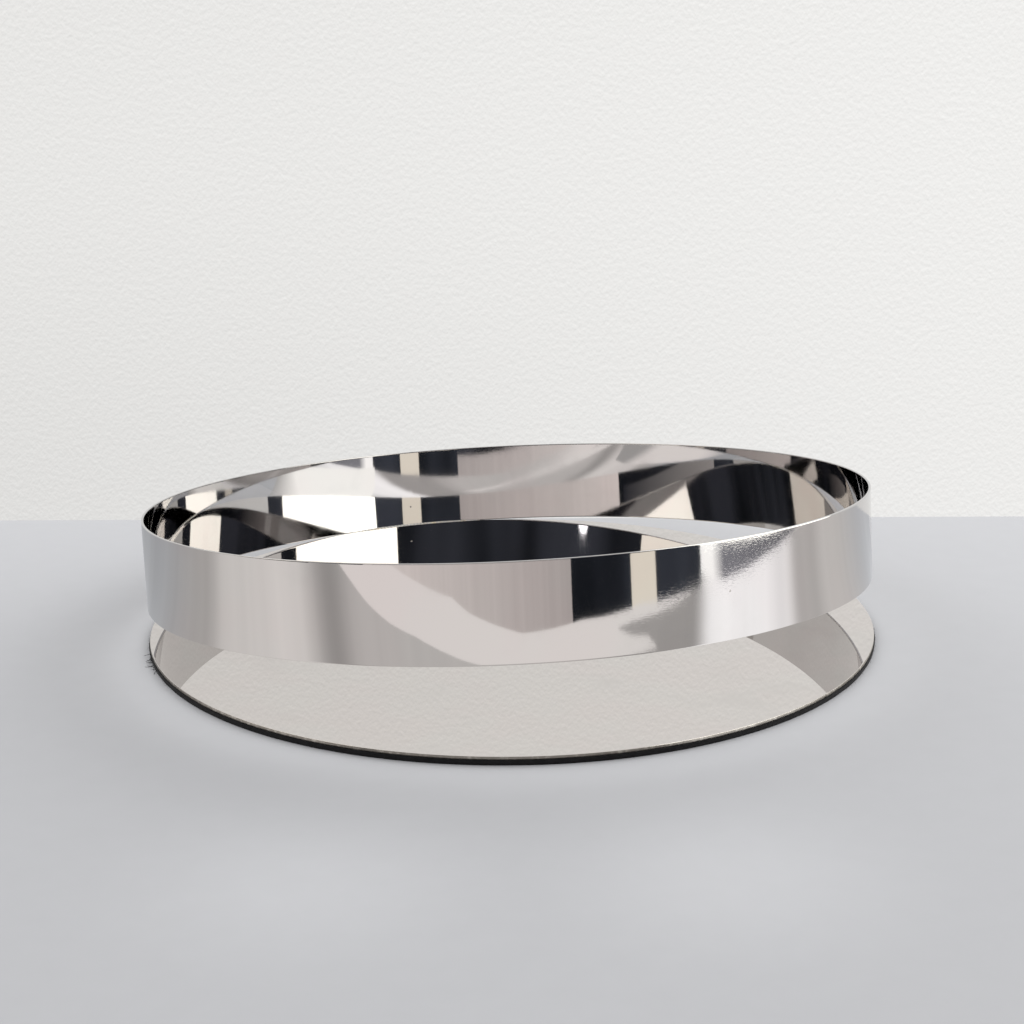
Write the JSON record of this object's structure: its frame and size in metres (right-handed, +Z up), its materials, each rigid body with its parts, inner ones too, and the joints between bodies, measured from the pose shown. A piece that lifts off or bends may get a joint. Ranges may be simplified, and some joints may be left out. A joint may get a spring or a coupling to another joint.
{
  "type": "candle plate",
  "caption": "Round mirror-polished steel candle plate on black felt, with a leaning polished steel band welded to its rear edge and standing clear of it at the front.",
  "frame": {"origin": "centre of the felt's underside, on the table that the plate rests on", "axes": "+Z up; +Y towards the rear edge where the band meets the plate; the band rises towards -Y"},
  "size_m": [0.3008, 0.3057, 0.0725],
  "materials": {
    "polished_steel": "polished",
    "weld_steel": "satin",
    "adhesive": "matte",
    "felt": "matte"
  },
  "bodies": {
    "root": {"base_plate": "polished_steel", "ring_band": "polished_steel", "band_seam_weld": "polished_steel", "rear_weld": "weld_steel", "felt_adhesive": "adhesive", "felt_pad": "felt"}
  },
  "joints": []
}
